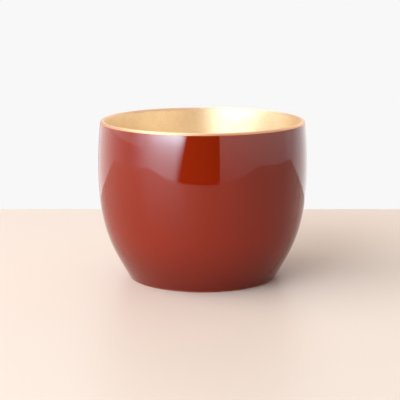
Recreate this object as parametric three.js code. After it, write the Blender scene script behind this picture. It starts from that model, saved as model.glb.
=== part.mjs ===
// A lacquered sake cup: a thin bowl turned from one block of wood, grounded, lacquered
// red outside and underneath, and lined with gold that runs up over the lip.
//
// Millimetres, +Z up. The origin is the centre of the ring that the cup stands on.
import * as THREE from "three";

const { degToRad } = THREE.MathUtils;

// The outside of the finished cup
const cupHeight = 50;
const bellyRadius = 33; // the widest place
const bellyDrop = 14.8; // how far below the lip that is
const rimInset = 0.8; // the wall draws in this far from the belly up to the lip
const footInset = 9.55; // and this far from the belly down to the foot
const footLean = degToRad(28.5); // how far the wall leans out as it leaves the foot
const footReach = 9; // how far up the wall that lean is felt

// The walls
const lipThickness = 1.5;
const wallThickness = 2; // at the belly
const floorThickness = 3.5; // in the middle, above the hollow under the foot

// The foot: a flat ring round a shallow hollow
const landingWidth = 3;
const hollowDepth = 1.5;
const woodEdge = 0.15; // how much the turner eases the foot's edges, before any coat

// What is laid on the wood. Each coat is bonded to the one below it, with no gap.
const redCoat = 0.15;
const outsideGround = 0.2;
const goldCoat = 0.15; // the gold and the lacquer that holds it
const insideGround = 0.2;

// How finely each stretch of the outline is drawn, and how many sides go round the cup
const turnSides = 40;
const hollowSteps = 3;
const footEdgeSteps = 3;
const lowerWallSteps = 7;
const upperWallSteps = 4;
const lipSteps = 3; // on each side of its top
const neckSteps = 3;
const bowlSteps = 8;
const samePlace = 0.001; // points nearer to each other than this count as one

// Sizes that follow
const outsideDepth = redCoat + outsideGround;
const insideDepth = goldCoat + insideGround;
const footEdge = woodEdge + outsideDepth;
const rimRadius = bellyRadius - rimInset;
const footRadius = bellyRadius - footInset;
const innerBellyRadius = bellyRadius - wallThickness;
const bellyHeight = cupHeight - bellyDrop;
const floorHeight = hollowDepth + floorThickness;
const lipRound = lipThickness / 2;
const lipHeight = cupHeight - lipRound; // of the centre of the lip's round
const rightAngle = Math.PI / 2;

const point = (radius, height) => new THREE.Vector2(radius, height);
const step = (from, length, angle) =>
  point(from.x + length * Math.cos(angle), from.y + length * Math.sin(angle));
const arc = (centre, radius, from, to) =>
  new THREE.EllipseCurve(centre.x, centre.y, radius, radius, from, to, to < from);

// Above the belly both sides of the wall are parabolas that stand upright at the belly.
// At the top such a curve leans in twice as steeply as its straight chord.
const parabola = (belly, top) =>
  new THREE.QuadraticBezierCurve(belly, point(belly.x, (belly.y + top.y) / 2), top);
const topLean = (inset, height) => Math.atan2(2 * inset, height);
const rimLean = topLean(rimInset, lipHeight - bellyHeight);
const mouthInset = innerBellyRadius - (rimRadius - lipThickness);
const mouthLean = topLean(mouthInset, lipHeight - bellyHeight);
const lipCentre = point(rimRadius - lipRound * Math.cos(rimLean), lipHeight);
const rim = step(lipCentre, lipRound, rimLean);
const mouth = step(lipCentre, lipRound, Math.PI + mouthLean);

// How gently the wall bends at the belly, as a radius. The wall below takes it over, so
// that no line shows in the gloss where the two meet.
const bellySweep = (rim.y - bellyHeight) ** 2 / (2 * rimInset);

// Below the belly each side of the wall is a cubic. Its upper handle is as long as it has
// to be for the curve to bend with the radius of the sweep where it stands upright.
function wallBelow(low, lowHandle, belly, sweep) {
  const drop = Math.sqrt((2 / 3) * Math.abs(belly.x - lowHandle.x) * sweep);
  return new THREE.CubicBezierCurve(low, lowHandle, point(belly.x, belly.y - drop), belly);
}

// The same curve, run from its end to its start
function reversed(curve) {
  const ends = [curve.v3, curve.v2, curve.v1, curve.v0].filter((end) => end);
  return new curve.constructor(...ends);
}

// The underside, from the middle of the hollow out to the top of the foot's eased edge
function underside() {
  const footEdgeCentre = point(footRadius - footEdge * Math.cos(footLean), footEdge);
  const landingStart = footEdgeCentre.x - landingWidth;
  const hollowBend = hollowDepth - footEdge;
  const hollowWall = landingStart - footEdge;
  const ceilingEdge = hollowWall - hollowBend;
  return [
    [new THREE.LineCurve(point(0, hollowDepth), point(ceilingEdge, hollowDepth)), 1],
    [arc(point(ceilingEdge, footEdge), hollowBend, rightAngle, 0), hollowSteps],
    [arc(point(landingStart, footEdge), footEdge, 2 * rightAngle, 3 * rightAngle), footEdgeSteps],
    [new THREE.LineCurve(point(landingStart, 0), point(footEdgeCentre.x, 0)), 1],
    [arc(footEdgeCentre, footEdge, -rightAngle, -footLean), footEdgeSteps],
  ];
}

// The outside of the wall, from the foot's eased edge up to the lip
function outerWall() {
  const belly = point(bellyRadius, bellyHeight);
  const foot = point(footRadius, footEdge * (1 - Math.sin(footLean)));
  const footHandle = step(foot, footReach, rightAngle - footLean);
  return [
    [wallBelow(foot, footHandle, belly, bellySweep), lowerWallSteps],
    [parabola(belly, rim), upperWallSteps],
  ];
}

// The lip and the inside, from the top of the outer wall down to the middle of the floor
function lipAndBowl() {
  const belly = point(innerBellyRadius, bellyHeight);
  const floor = point(0, floorHeight);
  const floorHandle = point(footRadius, floorHeight);
  const bowl = wallBelow(floor, floorHandle, belly, bellySweep - wallThickness);
  return [
    [arc(lipCentre, lipRound, rimLean, rightAngle), lipSteps],
    [arc(lipCentre, lipRound, rightAngle, Math.PI + mouthLean), lipSteps],
    [reversed(parabola(belly, mouth)), neckSteps],
    [reversed(bowl), bowlSteps],
  ];
}

// Points along the stretches, each with the way out of the cup's material there.
// One stretch runs smoothly into the next, so the point that they share is kept once.
function skinOf(stretches) {
  const skin = [];
  stretches.forEach(([curve, steps], stretch) => {
    for (let i = stretch === 0 ? 0 : 1; i <= steps; i++) {
      const along = curve.getTangent(i / steps);
      skin.push({ at: curve.getPoint(i / steps), out: point(along.y, -along.x) });
    }
  });
  return skin;
}

// The same points, sunk to a depth below the finished surface. The axis stays the axis.
function sunk(skin, depth) {
  return skin.map(({ at, out }) =>
    at.x === 0
      ? point(0, at.y - Math.sign(out.y) * depth)
      : point(at.x - out.x * depth, at.y - out.y * depth),
  );
}

// A coat between two depths of the skin. Its outline starts and ends on the axis, or
// closes on itself where the coat doesn't reach the axis.
function coatOutline(skin, top, bottom) {
  const over = sunk(skin, top);
  const back = sunk(skin, bottom).reverse();
  if (over[0].x === 0) {
    return [...over, ...back];
  }
  const reachesAxis = back[0].x === 0;
  return reachesAxis ? [...back, ...over] : [...back, ...over, back[0]];
}

function turned(name, outline, finish) {
  const corners = outline.filter((p, i) => i === 0 || p.distanceTo(outline[i - 1]) > samePlace);
  const mesh = new THREE.Mesh(new THREE.LatheGeometry(corners, turnSides), finish);
  mesh.name = name;
  return mesh;
}

const undersideSkin = skinOf(underside());
const wallSkin = skinOf(outerWall());
const insideSkin = skinOf(lipAndBowl());
const outsideSkin = [...undersideSkin, ...wallSkin.slice(1)];
const woodOutline = [...sunk(outsideSkin, outsideDepth), ...sunk(insideSkin, insideDepth)];

const bareWood = new THREE.MeshStandardMaterial({ color: "#c49a68", roughness: 0.7 });
const ground = new THREE.MeshStandardMaterial({ color: "#5b4636", roughness: 0.9 });
const redLacquer = new THREE.MeshStandardMaterial({ color: "#94290f", roughness: 0.12 });
const gold = new THREE.MeshStandardMaterial({ color: "#e8b964", roughness: 0.4, metalness: 1 });

const cup = new THREE.Group();
cup.rotation.x = rightAngle; // a lathe turns about Y, and the cup stands along Z
cup.add(
  turned("turned_wood_body", woodOutline, bareWood),
  turned("outer_ground_coat", coatOutline(outsideSkin, redCoat, outsideDepth), ground),
  turned("inner_ground_coat", coatOutline(insideSkin, goldCoat, insideDepth), ground),
  turned("red_wall_lacquer", coatOutline(wallSkin, 0, redCoat), redLacquer),
  turned("red_underside_lacquer", coatOutline(undersideSkin, 0, redCoat), redLacquer),
  turned("gold_lining", coatOutline(insideSkin, 0, goldCoat), gold),
);

export default cup;
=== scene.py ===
# %% [markdown]
# # A lacquered sake cup
#
# This cup is a thin bowl turned from one block of wood. Its maker levels the wood with a
# ground coat, brushes red lacquer over the outside and the underside, and lays gold on
# the inside and over the lip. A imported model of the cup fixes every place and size, in
# metres, with +Z up and the origin under the middle of the foot. This lesson gives each
# piece a fine surface and a finish, and stands the cup in a plain pale studio.

# %% Load the model
import math

import bmesh
import bpy
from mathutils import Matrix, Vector


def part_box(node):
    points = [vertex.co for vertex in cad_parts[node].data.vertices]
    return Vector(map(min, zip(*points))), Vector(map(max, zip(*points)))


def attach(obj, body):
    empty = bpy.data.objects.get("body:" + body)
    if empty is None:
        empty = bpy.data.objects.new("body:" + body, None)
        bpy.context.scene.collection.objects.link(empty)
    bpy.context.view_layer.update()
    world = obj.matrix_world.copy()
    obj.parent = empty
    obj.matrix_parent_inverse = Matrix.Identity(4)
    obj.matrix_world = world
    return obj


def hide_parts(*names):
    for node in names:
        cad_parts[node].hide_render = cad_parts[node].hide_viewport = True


MM = 0.001  # metres in a millimetre

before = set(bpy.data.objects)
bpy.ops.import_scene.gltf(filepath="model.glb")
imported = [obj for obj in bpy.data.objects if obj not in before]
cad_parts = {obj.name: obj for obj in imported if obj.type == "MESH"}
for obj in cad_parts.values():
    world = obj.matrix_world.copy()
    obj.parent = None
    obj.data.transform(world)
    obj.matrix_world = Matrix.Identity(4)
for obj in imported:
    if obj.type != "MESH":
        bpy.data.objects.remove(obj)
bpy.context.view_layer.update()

# %% [markdown]
# ## Colours and nodes
#
# Colours are written as sRGB hex values, the way a paint chart gives them, and Blender
# mixes light in linear values, so one function turns the first into the second. Another
# adds a node: its own settings go in by name, and its inputs take either a value or the
# output of another node. A third makes the empty material that the nodes go into.

# %% Helpers for colours and nodes
scene = bpy.context.scene
scene.view_settings.view_transform = "Standard"


def linear(hex_colour):
    """An sRGB hex colour as linear red, green and blue, with an alpha of 1."""
    shares = [int(hex_colour[i : i + 2], 16) / 255 for i in (1, 3, 5)]
    return (*[s / 12.92 if s <= 0.04045 else ((s + 0.055) / 1.055) ** 2.4 for s in shares], 1)


def add(tree, kind, inputs=None, **settings):
    """Adds a node of that kind, sets it up and links it, and returns it."""
    node = tree.nodes.new(kind)
    for name, value in settings.items():
        setattr(node, name, value)
    for name, value in (inputs or {}).items():
        if isinstance(value, bpy.types.NodeSocket):
            tree.links.new(value, node.inputs[name])
        else:
            node.inputs[name].default_value = value
    return node


def new_material(name):
    """A material without any nodes, and its node tree."""
    material = bpy.data.materials.new(name)
    material.use_nodes = True
    material.node_tree.nodes.clear()
    return material, material.node_tree


print("the grey #808080 sends back", round(linear("#808080")[0], 3), "of the light")

# %% [markdown]
# ## Camera
#
# The view is that of a long lens a little above the cup, which keeps the wall's curve
# true and shows a slim ellipse of the gold inside. The camera looks down at the cup. It
# stands a little to the left of the cup's axis and isn't turned towards it, so that the
# cup sits just right of the middle of the picture without any shift of the lens.

# %% Place the camera
FRAME_PIXELS = 400  # the picture is square
FOCAL_PIXELS = 1280.4  # the focal length, in pixels of that picture
SENSOR = 36.0  # mm
NEAREST_SEEN = 10.0  # mm in front of the lens
CAMERA_PLACE = Vector((-0.81, -400.0, 101.93)) * MM
CAMERA_PITCH = 0.192  # radians that the camera looks down

lens = bpy.data.cameras.new("long_lens")
lens.sensor_width = SENSOR
lens.lens = FOCAL_PIXELS / FRAME_PIXELS * SENSOR
lens.clip_start = NEAREST_SEEN * MM
camera = bpy.data.objects.new("camera", lens)
camera.location = CAMERA_PLACE
camera.rotation_euler = (math.pi / 2 - CAMERA_PITCH, 0, 0)
scene.collection.objects.link(camera)
scene.camera = camera
print("lens, mm:", round(lens.lens, 1))

# %% [markdown]
# ## The room
#
# The background is plain white. The camera, and the gloss of the lacquer and the gold,
# see it at a strength of 1, which is white, while the light that it sheds on matt
# surfaces is set lower, as the fill light of the studio.

# %% Make the room
WHITE = "#f8f8f9"
WHITE_STRENGTH = 1.0
FILL_LIGHT = "#fff8f2"
FILL_STRENGTH = 0.12

scene.world = bpy.data.worlds.new("pale_room")
scene.world.cycles.sampling_method = "NONE"  # the room is even, so no ray has to aim at it
scene.world.use_nodes = True
room = scene.world.node_tree
room.nodes.clear()
room_ray = add(room, "ShaderNodeLightPath")
seen_or_mirrored = add(
    room,
    "ShaderNodeMath",
    {0: room_ray.outputs["Is Camera Ray"], 1: room_ray.outputs["Is Glossy Ray"]},
    operation="MAXIMUM",
)
shows_white = add(
    room,
    "ShaderNodeMath",
    {0: seen_or_mirrored.outputs[0], 1: room_ray.outputs["Is Transmission Ray"]},
    operation="MAXIMUM",
)
fill = add(room, "ShaderNodeBackground", {"Color": linear(FILL_LIGHT), "Strength": FILL_STRENGTH})
backdrop = add(room, "ShaderNodeBackground", {"Color": linear(WHITE), "Strength": WHITE_STRENGTH})
room_light = add(
    room,
    "ShaderNodeMixShader",
    {0: shows_white.outputs[0], 1: fill.outputs[0], 2: backdrop.outputs[0]},
)
add(room, "ShaderNodeOutputWorld", {"Surface": room_light.outputs[0]})
print("the fill light's share of the white that is seen:", FILL_STRENGTH / WHITE_STRENGTH)

# %% [markdown]
# ## The floor
#
# The cup stands on a plain, pale, warm sheet. Lacquer as glossy as this mirrors the edges
# of whatever the cup stands on, so the sheet's size matters: its edges give the curved
# line across the upper part of the wall, above which the cup mirrors the room. Seen from
# below, the sheet is clear to the camera, and it has a round opening under the foot with
# a light below it, so that the underside can be looked at. The foot covers that opening,
# so nothing of it shows from above.

# %% A flat sheet for the studio
UV_CORNERS = [(0, 0), (1, 0), (1, 1), (0, 1)]  # across and up


def level(left, right, front, back, height=0.0):
    """The corners of a level sheet, in metres."""
    return [(left, front, height), (right, front, height), (right, back, height), (left, back, height)]


def flat_sheet(name, corners, material, seen=True):
    """One flat face with its corners in metres, as part of the studio."""
    mesh = bpy.data.meshes.new(name)
    mesh.from_pydata([Vector(corner) for corner in corners], [], [range(len(corners))])
    places = mesh.uv_layers.new(name="across_and_up")
    for spot, place in zip(places.data, UV_CORNERS):
        spot.uv = place
    mesh.materials.append(material)
    sheet = bpy.data.objects.new(name, mesh)
    sheet.visible_camera = seen
    scene.collection.objects.link(sheet)
    print(name, "seen by the camera" if seen else "hidden from the camera")


# %% Lay the floor
FLOOR_LEFT = -340.0  # mm
FLOOR_RIGHT = 370.0
FLOOR_FRONT = -215.0
FLOOR_BACK = 105.0
FLOOR_COLOUR = "#f3dac6"
FLOOR_ROUGHNESS = 0.45
FLOOR_IOR = 1.45
OPENING_RADIUS = 22.9  # mm, just inside the outer edge of the ring that the cup stands on


def pale_floor():
    """A pale matt sheet, clear to the camera from below, and open under the foot."""
    material, tree = new_material("pale_matt_sheet")
    sheet = add(
        tree,
        "ShaderNodeBsdfPrincipled",
        {"Base Color": linear(FLOOR_COLOUR), "Roughness": FLOOR_ROUGHNESS, "IOR": FLOOR_IOR},
    )
    ray = add(tree, "ShaderNodeLightPath")
    face = add(tree, "ShaderNodeNewGeometry")
    from_below = add(
        tree,
        "ShaderNodeMath",
        {0: ray.outputs["Is Camera Ray"], 1: face.outputs["Backfacing"]},
        operation="MULTIPLY",
    )
    at = add(tree, "ShaderNodeTexCoord").outputs["Object"]
    from_middle = add(tree, "ShaderNodeVectorMath", {0: at}, operation="LENGTH")
    opening = add(
        tree,
        "ShaderNodeMath",
        {0: from_middle.outputs["Value"], 1: OPENING_RADIUS * MM},
        operation="LESS_THAN",
    )
    is_clear = add(
        tree,
        "ShaderNodeMath",
        {0: from_below.outputs[0], 1: opening.outputs[0]},
        operation="MAXIMUM",
    )
    clear = add(tree, "ShaderNodeBsdfTransparent")
    floor = add(
        tree,
        "ShaderNodeMixShader",
        {0: is_clear.outputs[0], 1: sheet.outputs[0], 2: clear.outputs[0]},
    )
    add(tree, "ShaderNodeOutputMaterial", {"Surface": floor.outputs[0]})
    return material


floor_edges = [edge * MM for edge in (FLOOR_LEFT, FLOOR_RIGHT, FLOOR_FRONT, FLOOR_BACK)]
flat_sheet("floor", level(*floor_edges), pale_floor())
print("floor, mm:", FLOOR_RIGHT - FLOOR_LEFT, "by", FLOOR_BACK - FLOOR_FRONT)

# %% [markdown]
# ## Soft lights and a black card
#
# Lacquerware is lit with very large soft lights, because the gloss mirrors the lights
# themselves: their size and their soft edges are what the eye reads as a deep polish.
# Each one here is a sheer white cloth with light on it, so that it glows and still lets
# the pale room show through. A low light at the front left is there for its reflection,
# which fades downwards and to the left. The tall light above it, and another above the
# black card, reach into the bowl and make the gold shine. A side light shapes the cup,
# fainter cloths hang at the right and behind, one is stretched overhead, and one lies far
# below the opening in the floor. The black card behind the camera leaves a clean dark gap
# in the gloss, where the red shows at its deepest. The camera itself sees none of them.

# %% A cloth of light
DAYLIGHT = "#d8eeff"
SOFT_DAYLIGHT = "#eef6ff"
NEUTRAL_WHITE = "#fffdf9"
WARM_WHITE = "#fff4ea"
# Each of these lists has places from one edge of a cloth, 0, to the other, 1, and the
# share of the full light at each.
EVEN = [(0.0, 1.0), (1.0, 1.0)]
FADED_ENDS = [(0.0, 0.0), (0.3, 1.0), (0.7, 1.0), (1.0, 0.0)]
FADED_TOP = [(0.0, 1.0), (0.6, 1.0), (1.0, 0.0)]


def cloth_of_light(name, corners, colour, strength, across=EVEN, upwards=EVEN):
    """A cloth whose light varies from its far edge to its near one, and upwards."""
    material, tree = new_material(name)
    at = add(tree, "ShaderNodeTexCoord")
    place = add(tree, "ShaderNodeSeparateXYZ", {0: at.outputs["UV"]})
    shares = []
    for direction, stops in (("X", across), ("Y", upwards)):
        ramp = add(tree, "ShaderNodeValToRGB", {"Fac": place.outputs[direction]})
        curve = ramp.color_ramp
        curve.interpolation = "B_SPLINE" if len(stops) > 2 else "EASE"
        curve.elements.remove(curve.elements[1])
        for number, (spot, share) in enumerate(stops):
            stop = curve.elements.new(spot) if number else curve.elements[0]
            stop.position = spot
            stop.color = (share, share, share, 1)
        shares.append(ramp.outputs["Color"])
    shape = add(tree, "ShaderNodeMath", {0: shares[0], 1: shares[1]}, operation="MULTIPLY")
    light = add(tree, "ShaderNodeMath", {0: shape.outputs[0], 1: strength}, operation="MULTIPLY")
    glow = add(tree, "ShaderNodeEmission", {"Color": linear(colour), "Strength": light.outputs[0]})
    weave = add(tree, "ShaderNodeBsdfTransparent")
    cloth = add(tree, "ShaderNodeAddShader", {0: glow.outputs[0], 1: weave.outputs[0]})
    add(tree, "ShaderNodeOutputMaterial", {"Surface": cloth.outputs[0]})
    flat_sheet(name, corners, material, seen=False)


# %% Hang the lights at the front
CLOTH_DISTANCE = 0.8  # metres from the cup's axis to both upright edges of a cloth


def upright(near, far, bottom, top, lean=0.0):
    """The corners of an upright cloth between two azimuths round the cup, in metres.

    Azimuths are in degrees from the camera, and to the left they are negative. Lean is how
    far the foot of the cloth stands beyond its head, towards its far edge.
    """
    ends = []
    for azimuth in (far, near):
        angle = math.radians(azimuth)
        ends.append(Vector((math.sin(angle), -math.cos(angle), 0)) * CLOTH_DISTANCE)
    shift = (ends[0] - ends[1]).normalized() * lean
    low = Vector((0, 0, bottom)) + shift
    high = Vector((0, 0, top))
    return [ends[0] + low, ends[1] + low, ends[1] + high, ends[0] + high]


cloth_of_light(
    "low_light",
    upright(near=-17, far=-80, bottom=-0.10, top=0.105, lean=0.13),
    DAYLIGHT,
    strength=34.0,
    across=[(0.0, 0.02), (0.25, 0.2), (0.5, 0.85), (0.75, 1.0), (0.9, 1.0), (1.0, 0.0)],
    upwards=[(0.0, 0.11), (0.25, 0.14), (0.5, 0.21), (0.75, 0.38), (0.9, 0.7), (1.0, 1.0)],
)
cloth_of_light(
    "tall_light",
    upright(near=-17, far=-65, bottom=0.105, top=0.9),
    DAYLIGHT,
    strength=5.4,
)
cloth_of_light(
    "light_above_the_card",
    upright(near=-3, far=-17, bottom=0.17, top=0.6),
    DAYLIGHT,
    strength=5.0,
    across=[(0.0, 1.0), (0.5, 0.7), (1.0, 0.0)],
)

# %% Hang the lights at the sides and the back
cloth_of_light(
    "side_light",
    upright(near=-65, far=-125, bottom=0.03, top=1.1),
    SOFT_DAYLIGHT,
    strength=4.2,
    across=[(0.0, 0.35), (0.5, 0.75), (1.0, 1.0)],
    upwards=[(0.0, 0.3), (0.25, 0.45), (0.5, 1.0), (1.0, 1.0)],
)
cloth_of_light(
    "back_left_cloth",
    upright(near=-82, far=-158, bottom=-0.15, top=0.1),
    NEUTRAL_WHITE,
    strength=1.2,
    across=[(0.0, 0.4), (0.25, 0.8), (0.45, 1.0), (0.7, 0.5), (1.0, 0.1)],
)
cloth_of_light(
    "right_cloth",
    upright(near=17.9, far=110, bottom=-0.09, top=0.13),
    NEUTRAL_WHITE,
    strength=1.35,
    across=[(0.0, 0.5), (0.3, 1.0), (0.65, 1.0), (1.0, 0.65)],
    upwards=[(0.0, 0.0), (0.2, 0.2), (0.5, 0.6), (0.8, 1.0), (1.0, 1.0)],
)
cloth_of_light(
    "back_right_cloth",
    upright(near=100, far=168, bottom=-0.2, top=0.6),
    NEUTRAL_WHITE,
    strength=1.0,
    across=FADED_ENDS,
    upwards=FADED_TOP,
)
cloth_of_light(
    "back_cloth",
    upright(near=148, far=212, bottom=0.0, top=0.8),
    WARM_WHITE,
    strength=0.5,
    across=FADED_ENDS,
    upwards=FADED_TOP,
)

# %% Stretch one overhead and lay one below
cloth_of_light(
    "overhead_cloth",
    level(left=-0.8, right=0.4, front=-0.5, back=0.6, height=0.95),
    WARM_WHITE,
    strength=0.65,
)
cloth_of_light(
    "cloth_below",
    level(left=-0.3, right=0.3, front=-0.3, back=0.1, height=-0.3),
    NEUTRAL_WHITE,
    strength=1.2,
)

# %% Stand the black card behind the camera
CARD_BLACK = "#0a0a0a"
CARD_DISTANCE = 0.85  # metres in front of the cup's axis
CARD_LEFT = -0.433
CARD_RIGHT = 0.275
CARD_BOTTOM = -0.2
CARD_TOP = 0.172


def black_card():
    """Matt black card, which sends back almost no light."""
    material, tree = new_material("black_card")
    card = add(tree, "ShaderNodeBsdfDiffuse", {"Color": linear(CARD_BLACK)})
    add(tree, "ShaderNodeOutputMaterial", {"Surface": card.outputs[0]})
    return material


card_corners = [
    (CARD_LEFT, -CARD_DISTANCE, CARD_BOTTOM),
    (CARD_RIGHT, -CARD_DISTANCE, CARD_BOTTOM),
    (CARD_RIGHT, -CARD_DISTANCE, CARD_TOP),
    (CARD_LEFT, -CARD_DISTANCE, CARD_TOP),
]
flat_sheet("black_card", card_corners, black_card(), seen=False)

# %% [markdown]
# ## The outline of the cup
#
# Everything about a turned cup is in half of its outline. The outside runs from the
# hollow under the foot, round the ring that the cup stands on and up the wall, and the
# inside runs over the lip and down to the middle of the floor. The wall is made of two
# Bezier curves that meet at the belly, the widest place, with the same bend, because the
# gloss would show a break there as a line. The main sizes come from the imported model,
# and the others are those that the model was made with.

# %% Sizes, in millimetres
def top_corner(node):
    """The highest corner of a node's box."""
    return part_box(node)[1] / MM


def low_corner(node):
    """The lowest corner of a node's box."""
    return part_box(node)[0] / MM


CUP_HEIGHT = top_corner("gold_lining").z
RIM_RADIUS = top_corner("gold_lining").x
BELLY_RADIUS = top_corner("red_wall_lacquer").x
FOOT_RADIUS = top_corner("red_underside_lacquer").x
RED_COAT = 0.15  # this and the next three are how thick each coat is
OUTSIDE_GROUND = 0.2
GOLD_COAT = 0.15
INSIDE_GROUND = 0.2
FLOOR_HEIGHT = low_corner("gold_lining").z + GOLD_COAT  # of the gold in the middle of the bowl
BELLY_DROP = 14.8  # from the lip down to the belly
FOOT_LEAN = math.radians(28.5)  # how far the wall leans out as it leaves the foot
FOOT_REACH = 9.0  # how far up the wall that lean is felt
LIP_THICKNESS = 1.5
WALL_THICKNESS = 2.0  # at the belly
LANDING_WIDTH = 3.0  # of the flat ring that the cup stands on
HOLLOW_DEPTH = 1.5
WOOD_EDGE = 0.15  # the foot's edges, eased before any coat

OUTSIDE_DEPTH = RED_COAT + OUTSIDE_GROUND
INSIDE_DEPTH = GOLD_COAT + INSIDE_GROUND
FOOT_EDGE = WOOD_EDGE + OUTSIDE_DEPTH
BELLY_HEIGHT = CUP_HEIGHT - BELLY_DROP
INNER_BELLY_RADIUS = BELLY_RADIUS - WALL_THICKNESS
LIP_ROUND = LIP_THICKNESS / 2
LIP_HEIGHT = CUP_HEIGHT - LIP_ROUND  # of the centre of the lip's round
RIGHT_ANGLE = math.pi / 2
print("height", round(CUP_HEIGHT, 2), "belly", round(BELLY_RADIUS, 2), "rim", round(RIM_RADIUS, 2))
print("foot", round(FOOT_RADIUS, 2), "floor", round(FLOOR_HEIGHT, 2))

# %% Curves, as points with the direction that the curve runs in
def point(radius, height):
    """A place on the outline, in mm from the axis and from the floor."""
    return Vector((radius, height))


def step(start, length, angle):
    """The point that far from another, at an angle up from level."""
    return start + length * Vector((math.cos(angle), math.sin(angle)))


def bezier(handles, steps):
    """A line, parabola or cubic, from two, three or four handles."""
    found = []
    for i in range(steps + 1):
        remaining = handles
        while len(remaining) > 2:
            remaining = [a.lerp(b, i / steps) for a, b in zip(remaining, remaining[1:])]
        along = (remaining[1] - remaining[0]).normalized()
        found.append((remaining[0].lerp(remaining[1], i / steps), along))
    return found


def arc(centre, radius, start, end, steps):
    """Part of a circle, from one angle to another."""
    turn = math.copysign(1, end - start)
    found = []
    for i in range(steps + 1):
        angle = start + (end - start) * i / steps
        spoke = Vector((math.cos(angle), math.sin(angle)))
        found.append((centre + radius * spoke, turn * Vector((-spoke.y, spoke.x))))
    return found


def skin_of(stretches):
    """The stretches as one skin: each point with the way out of the cup's material."""
    skin = []
    for stretch in stretches:
        for at, along in stretch[1 if skin else 0 :]:
            skin.append((at, Vector((along.y, -along.x))))
    return skin


# %% The wall's curves
def top_lean(inset, height):
    """How far a parabola that starts upright leans in at its top."""
    return math.atan2(2 * inset, height)


def wall_above(belly, top):
    """Handles of a parabola that stands upright at the belly."""
    return [belly, point(belly.x, (belly.y + top.y) / 2), top]


def wall_below(low, low_handle, belly, sweep):
    """Handles of a cubic that bends at the belly with the radius of the sweep."""
    reach = abs(belly.x - low_handle.x)
    drop = math.sqrt(2 / 3 * reach * sweep)  # a cubic's end bends with radius 3/2 drop**2 / reach
    return [low, low_handle, point(belly.x, belly.y - drop), belly]


rim_lean = top_lean(BELLY_RADIUS - RIM_RADIUS, LIP_HEIGHT - BELLY_HEIGHT)
mouth_inset = INNER_BELLY_RADIUS - (RIM_RADIUS - LIP_THICKNESS)
mouth_lean = top_lean(mouth_inset, LIP_HEIGHT - BELLY_HEIGHT)
lip_centre = point(RIM_RADIUS - LIP_ROUND * math.cos(rim_lean), LIP_HEIGHT)
rim = step(lip_centre, LIP_ROUND, rim_lean)
mouth = step(lip_centre, LIP_ROUND, math.pi + mouth_lean)
belly_sweep = (rim.y - BELLY_HEIGHT) ** 2 / (2 * (BELLY_RADIUS - RIM_RADIUS))
print("the wall's bend at the belly has a radius of", round(belly_sweep, 1), "mm")

# %% The whole skin, in three stretches
WALL_STEPS = 44  # this and the next three are how many steps a curve is drawn in
NECK_STEPS = 16
LIP_STEPS = 9
ROUND_STEPS = 6


def underside():
    """From the middle of the hollow, round the ring and up to the foot of the wall."""
    edge_centre = point(FOOT_RADIUS - FOOT_EDGE * math.cos(FOOT_LEAN), FOOT_EDGE)
    landing_start = edge_centre.x - LANDING_WIDTH
    hollow_bend = HOLLOW_DEPTH - FOOT_EDGE
    ceiling_edge = landing_start - FOOT_EDGE - hollow_bend
    inner_edge = point(landing_start, FOOT_EDGE)
    return [
        bezier([point(0, HOLLOW_DEPTH), point(ceiling_edge, HOLLOW_DEPTH)], NECK_STEPS),
        arc(point(ceiling_edge, FOOT_EDGE), hollow_bend, RIGHT_ANGLE, 0, ROUND_STEPS),
        arc(inner_edge, FOOT_EDGE, 2 * RIGHT_ANGLE, 3 * RIGHT_ANGLE, ROUND_STEPS),
        bezier([point(landing_start, 0), point(edge_centre.x, 0)], ROUND_STEPS),
        arc(edge_centre, FOOT_EDGE, -RIGHT_ANGLE, -FOOT_LEAN, ROUND_STEPS),
    ]


def outer_wall():
    """From the foot up to the rim, where the lip's round begins."""
    belly = point(BELLY_RADIUS, BELLY_HEIGHT)
    foot = point(FOOT_RADIUS, FOOT_EDGE * (1 - math.sin(FOOT_LEAN)))
    foot_handle = step(foot, FOOT_REACH, RIGHT_ANGLE - FOOT_LEAN)
    return [
        bezier(wall_below(foot, foot_handle, belly, belly_sweep), WALL_STEPS),
        bezier(wall_above(belly, rim), NECK_STEPS),
    ]


def lip_and_bowl():
    """Over the lip, down the inside and in to the middle of the bowl's floor."""
    belly = point(INNER_BELLY_RADIUS, BELLY_HEIGHT)
    middle = point(0, FLOOR_HEIGHT)
    floor_handle = point(FOOT_RADIUS, FLOOR_HEIGHT)
    bowl = wall_below(middle, floor_handle, belly, belly_sweep - WALL_THICKNESS)
    return [
        arc(lip_centre, LIP_ROUND, rim_lean, RIGHT_ANGLE, LIP_STEPS),
        arc(lip_centre, LIP_ROUND, RIGHT_ANGLE, math.pi + mouth_lean, LIP_STEPS),
        bezier(wall_above(belly, mouth)[::-1], NECK_STEPS),
        bezier(bowl[::-1], WALL_STEPS),
    ]


underside_skin = skin_of(underside())
wall_skin = skin_of(outer_wall())
inside_skin = skin_of(lip_and_bowl())
outside_skin = underside_skin + wall_skin[1:]
print("points on the skin:", len(outside_skin) + len(inside_skin))

# %% [markdown]
# ## From outline to solid
#
# A lathe turns an outline about the cup's axis. Here that is one small function in
# bmesh: it makes a ring of vertices for each point of the outline, or a single vertex
# where the point is on the axis, and joins each ring to the next. A coat is the skin
# between two depths. Where a coat ends beside another, its edge is drawn in a hair by
# the lacquer's own surface tension, so the seam between two coats shows as a fine line.

# %% Coats
ON_AXIS = 0.0001  # mm. A point that is nearer to the axis than this is on it.
EDGE_ROUND = 0.05  # mm, of a coat's end


def sunk(skin, depth):
    """The skin's points at a depth below it. What is on the axis stays there."""
    places = []
    for at, out in skin:
        if at.x < ON_AXIS:
            places.append(point(0, at.y - math.copysign(depth, out.y)))
        else:
            places.append(at - depth * out)
    return places


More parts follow.
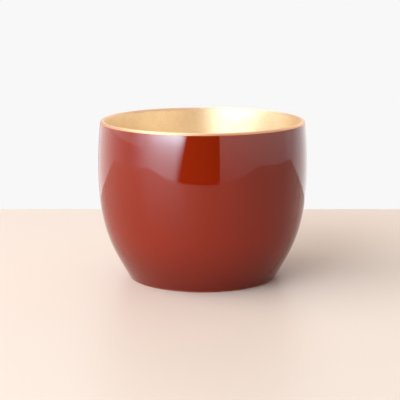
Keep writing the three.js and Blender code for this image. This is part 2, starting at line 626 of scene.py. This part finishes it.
def coat(skin, top, bottom):
    """The outline of a coat from one depth of the skin to another, round and back."""
    over = sunk(skin, top)
    for end, neighbour in ((0, 1), (-1, -2)):
        at, out = skin[end]
        if at.x > ON_AXIS:
            inwards = over[neighbour] - over[end]
            over[end] += EDGE_ROUND * inwards.normalized()
            corner = at - (top + EDGE_ROUND) * out
            over.insert(0 if end == 0 else len(over), corner)
    return over + sunk(skin, bottom)[::-1]


print("points round the gold's outline:", len(coat(inside_skin, 0, GOLD_COAT)))

# %% The lathe
TURN_SIDES = 192
SHARP = math.radians(35)  # a fold in the surface beyond this stays a crisp edge


def turned(name, outline, material):
    """A closed solid, turned about the cup's axis from a closed outline in mm."""
    form = bmesh.new()
    turn = [2 * math.pi * side / TURN_SIDES for side in range(TURN_SIDES)]
    rings = []
    for at in outline:
        if at.x < ON_AXIS:
            rings.append([form.verts.new((0, 0, at.y * MM))] * TURN_SIDES)
        else:
            spots = [(at.x * math.cos(a), at.x * math.sin(a), at.y) for a in turn]
            rings.append([form.verts.new(Vector(spot) * MM) for spot in spots])
    for ring, following in zip(rings, rings[1:] + rings[:1]):
        for side in range(TURN_SIDES):
            after = (side + 1) % TURN_SIDES
            loop = [ring[side], ring[after], following[after], following[side]]
            corners = list(dict.fromkeys(loop))
            if len(corners) > 2:
                form.faces.new(corners)
    bmesh.ops.recalc_face_normals(form, faces=form.faces)
    for face in form.faces:
        face.smooth = True
    for edge in form.edges:
        edge.smooth = edge.calc_face_angle(0) < SHARP
    mesh = bpy.data.meshes.new(name)
    form.to_mesh(mesh)
    form.free()
    mesh.materials.append(material)
    piece = bpy.data.objects.new(name, mesh)
    scene.collection.objects.link(piece)
    print(name, len(mesh.polygons), "faces")
    return piece


def seat(piece, node):
    """The piece rides with the cup, in place of a node, which is hidden."""
    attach(piece, "root")
    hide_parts(node)


# %% [markdown]
# ## Red lacquer
#
# The red coat is brushed lacquer: a hard, clear resin full of fine red pigment, brushed
# on thick enough to flow out and then polished. The pigment gives a deep brownish red
# that hardly varies. Low on the wall the red is painted darker towards the foot: that is
# painted shade, where the wall turns down towards the floor. The resin's surface is as
# smooth as glass and mirrors the room weakly from the front and strongly at the sides,
# which is what Fresnel's law gives a clear resin. An IOR of 1.5 is typical for one, and
# 1.4 matches this cup's softer shine. A very slight unevenness from the brush bends those
# reflections a little, as on every cup that is finished by hand. Under the foot the coat
# is left as it was brushed, which keeps it duller.

# %% The red lacquer
RED = "#821e06"
DEEP_RED = "#7a1b05"
PAINTED_FOOT_SHADE = "#6b1603"  # painted shade: the red is painted darker low on the wall, towards the foot
PAINTED_SHADE_FROM = 18.0  # mm above the foot, where that painted shade begins
THIN_RED = "#853318"  # where the coat is thin at its ends and looks paler and browner
THIN_EDGE = 0.5  # mm, how far in from the coat's end that shows
LACQUER_IOR = 1.4
CLOUD_SIZE = 20.0  # mm, of the faint clouds in the colour and the polish
CLOUD_DETAIL = 2.0
RIPPLE_LENGTH = 30.0  # mm, of the brush's ripples round the cup
RIPPLE_WIDTH = 5.0  # mm, from one ripple up to the next
RIPPLE_DETAIL = 1.0
RIPPLE_DEPTH = 0.004  # mm
POLISHED = (0.03, 0.06)  # the finest roughness and the coarsest
BRUSHED = (0.2, 0.3)


def red_lacquer(name, roughness, low_end, high_end):
    """Red lacquer with a roughness between two values, thinner at its ends in height."""
    material, tree = new_material(name)
    at = add(tree, "ShaderNodeTexCoord").outputs["Object"]
    cloud = add(
        tree,
        "ShaderNodeTexNoise",
        {"Vector": at, "Scale": 1 / (CLOUD_SIZE * MM), "Detail": CLOUD_DETAIL},
    )
    red = add(
        tree,
        "ShaderNodeMix",
        {"Factor": cloud.outputs["Fac"], "A": linear(DEEP_RED), "B": linear(RED)},
        data_type="RGBA",
    )
    height = add(tree, "ShaderNodeSeparateXYZ", {0: at}).outputs["Z"]
    # Painted shade: below that height the red darkens smoothly towards the foot.
    painted_foot_shade = add(
        tree,
        "ShaderNodeMapRange",
        {"Value": height, "From Min": PAINTED_SHADE_FROM * MM, "From Max": 0.0},
        interpolation_type="SMOOTHSTEP",
    )
    # The red with its painted shade towards the foot.
    body = add(
        tree,
        "ShaderNodeMix",
        {"Factor": painted_foot_shade.outputs[0], "A": red.outputs["Result"], "B": linear(PAINTED_FOOT_SHADE)},
        data_type="RGBA",
    )
    thin_ends = []
    for end, inwards in ((low_end, THIN_EDGE), (high_end, -THIN_EDGE)):
        thin_end = add(
            tree,
            "ShaderNodeMapRange",
            {"Value": height, "From Min": (end + inwards) * MM, "From Max": end * MM},
            interpolation_type="SMOOTHSTEP",
        )
        thin_ends.append(thin_end.outputs[0])
    thin = add(tree, "ShaderNodeMath", {0: thin_ends[0], 1: thin_ends[1]}, operation="MAXIMUM")
    shade = add(
        tree,
        "ShaderNodeMix",
        {"Factor": thin.outputs[0], "A": body.outputs["Result"], "B": linear(THIN_RED)},
        data_type="RGBA",
    )
    ripple_length, ripple_width = RIPPLE_LENGTH * MM, RIPPLE_WIDTH * MM
    ripple_scale = (1 / ripple_length, 1 / ripple_length, 1 / ripple_width)
    stretched = add(tree, "ShaderNodeMapping", {"Vector": at, "Scale": ripple_scale})
    ripple = add(
        tree,
        "ShaderNodeTexNoise",
        {"Vector": stretched.outputs[0], "Scale": 1.0, "Detail": RIPPLE_DETAIL},
    )
    relief = add(
        tree,
        "ShaderNodeBump",
        {"Height": ripple.outputs["Fac"], "Strength": 1.0, "Distance": RIPPLE_DEPTH * MM},
    )
    finest, coarsest = roughness
    polish = add(
        tree,
        "ShaderNodeMapRange",
        {"Value": cloud.outputs["Fac"], "To Min": finest, "To Max": coarsest},
    )
    lacquer = add(
        tree,
        "ShaderNodeBsdfPrincipled",
        {
            "Base Color": shade.outputs["Result"],
            "Roughness": polish.outputs[0],
            "IOR": LACQUER_IOR,
            "Normal": relief.outputs[0],
        },
    )
    add(tree, "ShaderNodeOutputMaterial", {"Surface": lacquer.outputs[0]})
    return material


mirrored = ((LACQUER_IOR - 1) / (LACQUER_IOR + 1)) ** 2
print("the share of light met square on that the resin mirrors:", round(mirrored, 3))

# %% Lay the red on the wall and the underside
foot_edge_height = wall_skin[0][0].y
seam_height = inside_skin[0][0].y
polished = red_lacquer("polished_red_lacquer", POLISHED, foot_edge_height, seam_height)
red_wall = turned("red_lacquer_wall", coat(wall_skin, 0, RED_COAT), polished)
seat(red_wall, "red_wall_lacquer")

# The ring that the cup stands on is worn thin. Nothing else is, so the upper of the two
# thin ends is set above the hollow.
as_brushed = red_lacquer("brushed_red_lacquer", BRUSHED, 0, HOLLOW_DEPTH + THIN_EDGE)
red_underside = turned("red_lacquer_underside", coat(underside_skin, 0, RED_COAT), as_brushed)
seat(red_underside, "red_underside_lacquer")

# %% [markdown]
# ## Gold lining
#
# The gold is fine metal powder laid on a last thin coat of lacquer. It isn't burnished,
# so it has a satin look: every grain lies at its own small angle, and together they
# spread a reflection into a soft glow. The powder is dusted and stroked on round the
# cup, and strokes that run round spread a reflection up and down, into a broad upright
# band. In Cycles that is a metal with a roughness of about 0.45, a high anisotropy along
# a tangent that runs round the Z axis, and a grain in its bump and colour. Over the lip
# the gold is thinner and lets the red glow through.

# %% Satin gold powder
PALE_GOLD = "#fbe8c9"
WARM_GOLD = "#efd3a5"
WORN_GOLD = "#e8c3a1"  # over the lip, where use has thinned it and the red glows through
THIN_GOLD = "#dea681"  # on the outside of the lip, where it runs out over the red
GOLD_ROUGHNESS = 0.45
LIP_ROUGHNESS = 0.6  # the thin gold over the lip is duller
BRUSHING = 0.8  # how far the powder's strokes stretch a reflection across themselves
QUARTER_TURN = 0.25  # which makes that stretch run across the tangent, up and down the bowl
WEAR_TOP = 0.3  # mm below the top of the lip, where the wear is full
WEAR_END = 1.1  # and where it ends
THIN_FROM = 0.65  # mm inside the rim's radius, where the gold starts to run out
GRAIN_SIZE = 0.35  # mm. Real powder is many times finer, and is drawn this coarse to show.
GRAIN_DEPTH = 0.018  # mm
PATCH_SIZE = 4.0  # mm, of the patches where the powder lies thicker or thinner
PATCH_SHARE = 0.3  # of the patches in the colour. The rest is the grain.
GOLD_DETAIL = 2.0
WARM_BELOW = 0.32  # where in that mixture the gold is at its warmest
PALE_ABOVE = 0.68  # and at its palest


def satin_gold_powder():
    """Gold powder stroked on round the cup, thinner over the lip and outside it."""
    material, tree = new_material("satin_gold_powder")
    at = add(tree, "ShaderNodeTexCoord").outputs["Object"]
    grain = add(
        tree,
        "ShaderNodeTexNoise",
        {"Vector": at, "Scale": 1 / (GRAIN_SIZE * MM), "Detail": GOLD_DETAIL},
    )
    patch = add(
        tree,
        "ShaderNodeTexNoise",
        {"Vector": at, "Scale": 1 / (PATCH_SIZE * MM), "Detail": GOLD_DETAIL},
    )
    mixed = add(
        tree,
        "ShaderNodeMix",
        {"Factor": PATCH_SHARE, "A": grain.outputs["Fac"], "B": patch.outputs["Fac"]},
    )
    shade = add(
        tree,
        "ShaderNodeMapRange",
        {"Value": mixed.outputs[0], "From Min": WARM_BELOW, "From Max": PALE_ABOVE},
    )
    fresh = add(
        tree,
        "ShaderNodeMix",
        {"Factor": shade.outputs[0], "A": linear(WARM_GOLD), "B": linear(PALE_GOLD)},
        data_type="RGBA",
    )
    height = add(tree, "ShaderNodeSeparateXYZ", {0: at}).outputs["Z"]
    wear_from, wear_to = (CUP_HEIGHT - WEAR_END) * MM, (CUP_HEIGHT - WEAR_TOP) * MM
    wear = add(
        tree,
        "ShaderNodeMapRange",
        {"Value": height, "From Min": wear_from, "From Max": wear_to},
        interpolation_type="SMOOTHSTEP",
    )
    worn = add(
        tree,
        "ShaderNodeMix",
        {"Factor": wear.outputs[0], "A": fresh.outputs["Result"], "B": linear(WORN_GOLD)},
        data_type="RGBA",
    )
    flat = add(tree, "ShaderNodeVectorMath", {0: at, 1: (1, 1, 0)}, operation="MULTIPLY")
    radius = add(tree, "ShaderNodeVectorMath", {0: flat.outputs[0]}, operation="LENGTH")
    thin_from, thin_to = (RIM_RADIUS - THIN_FROM) * MM, RIM_RADIUS * MM
    thin = add(
        tree,
        "ShaderNodeMapRange",
        {"Value": radius.outputs["Value"], "From Min": thin_from, "From Max": thin_to},
        interpolation_type="SMOOTHSTEP",
    )
    gold = add(
        tree,
        "ShaderNodeMix",
        {"Factor": thin.outputs[0], "A": worn.outputs["Result"], "B": linear(THIN_GOLD)},
        data_type="RGBA",
    )
    dullness = add(
        tree,
        "ShaderNodeMapRange",
        {"Value": wear.outputs[0], "To Min": GOLD_ROUGHNESS, "To Max": LIP_ROUGHNESS},
    )
    relief = add(
        tree,
        "ShaderNodeBump",
        {"Height": grain.outputs["Fac"], "Strength": 1.0, "Distance": GRAIN_DEPTH * MM},
    )
    round_the_cup = add(tree, "ShaderNodeTangent", direction_type="RADIAL", axis="Z")
    lining = add(
        tree,
        "ShaderNodeBsdfPrincipled",
        {
            "Base Color": gold.outputs["Result"],
            "Metallic": 1.0,
            "Roughness": dullness.outputs[0],
            "Anisotropic": BRUSHING,
            "Anisotropic Rotation": QUARTER_TURN,
            "Tangent": round_the_cup.outputs[0],
            "Normal": relief.outputs[0],
        },
    )
    add(tree, "ShaderNodeOutputMaterial", {"Surface": lining.outputs[0]})
    return material


gold_lining = turned("gold_powder_lining", coat(inside_skin, 0, GOLD_COAT), satin_gold_powder())
seat(gold_lining, "gold_lining")

# %% [markdown]
# ## Under the lacquer
#
# The ground is raw lacquer mixed with fine fired clay, spread with a spatula and rubbed
# flat: matt, dark brown and slightly gritty. Under it is the turned wood. Its block was
# cut with the grain lying across the cup, so its growth rings show as long ovals in the
# bottom of the bowl. Neither is seen on a finished cup, and both are here so that the cup
# is whole when a coat is lifted off.

# %% Ground of clay and raw lacquer
GROUND_DARK = "#4c3a2d"
GROUND_LIGHT = "#66503e"
GROUND_ROUGHNESS = 0.9
GRIT_SIZE = 0.4  # mm. The real clay is finer, and is drawn this coarse so that it shows.
GRIT_DETAIL = 3.0
GRIT_DEPTH = 0.02  # mm


def clay_and_lacquer_ground():
    """Matt brown ground with a fine grit in its colour and its relief."""
    material, tree = new_material("clay_and_lacquer_ground")
    at = add(tree, "ShaderNodeTexCoord").outputs["Object"]
    grit = add(
        tree,
        "ShaderNodeTexNoise",
        {"Vector": at, "Scale": 1 / (GRIT_SIZE * MM), "Detail": GRIT_DETAIL},
    )
    brown = add(
        tree,
        "ShaderNodeMix",
        {"Factor": grit.outputs["Fac"], "A": linear(GROUND_DARK), "B": linear(GROUND_LIGHT)},
        data_type="RGBA",
    )
    relief = add(
        tree,
        "ShaderNodeBump",
        {"Height": grit.outputs["Fac"], "Strength": 1.0, "Distance": GRIT_DEPTH * MM},
    )
    ground = add(
        tree,
        "ShaderNodeBsdfPrincipled",
        {
            "Base Color": brown.outputs["Result"],
            "Roughness": GROUND_ROUGHNESS,
            "Normal": relief.outputs[0],
        },
    )
    add(tree, "ShaderNodeOutputMaterial", {"Surface": ground.outputs[0]})
    return material


rubbed_ground = clay_and_lacquer_ground()
outer_outline = coat(outside_skin, RED_COAT, OUTSIDE_DEPTH)
outer_ground = turned("clay_ground_outside", outer_outline, rubbed_ground)
seat(outer_ground, "outer_ground_coat")
inner_outline = coat(inside_skin, GOLD_COAT, INSIDE_DEPTH)
inner_ground = turned("clay_ground_inside", inner_outline, rubbed_ground)
seat(inner_ground, "inner_ground_coat")

# %% Turned wood
WOOD_EARLY = "#cfa878"
WOOD_LATE = "#a97f52"
WOOD_ROUGHNESS = 0.7
WOOD_RING = 2.5  # mm, one year's growth
WAVES_PER_UNIT = 20 / (2 * math.pi)  # rings that a wave texture draws in a unit at a scale of 1
RING_WAVER = 2.0  # how far the rings stray from true circles
WOOD_DETAIL = 2.0


def turned_wood():
    """Bare turned wood, with its rings about a level line from side to side."""
    material, tree = new_material("turned_wood")
    at = add(tree, "ShaderNodeTexCoord").outputs["Object"]
    ring_scale = 1 / (WAVES_PER_UNIT * WOOD_RING * MM)
    rings = add(
        tree,
        "ShaderNodeTexWave",
        {"Vector": at, "Scale": ring_scale, "Distortion": RING_WAVER, "Detail": WOOD_DETAIL},
        wave_type="RINGS",
        rings_direction="X",
    )
    tone = add(
        tree,
        "ShaderNodeMix",
        {"Factor": rings.outputs["Fac"], "A": linear(WOOD_EARLY), "B": linear(WOOD_LATE)},
        data_type="RGBA",
    )
    wood = add(
        tree,
        "ShaderNodeBsdfPrincipled",
        {"Base Color": tone.outputs["Result"], "Roughness": WOOD_ROUGHNESS},
    )
    add(tree, "ShaderNodeOutputMaterial", {"Surface": wood.outputs[0]})
    return material


core_outline = sunk(outside_skin, OUTSIDE_DEPTH) + sunk(inside_skin, INSIDE_DEPTH)[1:]
wood_core = turned("turned_wood_core", core_outline, turned_wood())
seat(wood_core, "turned_wood_body")
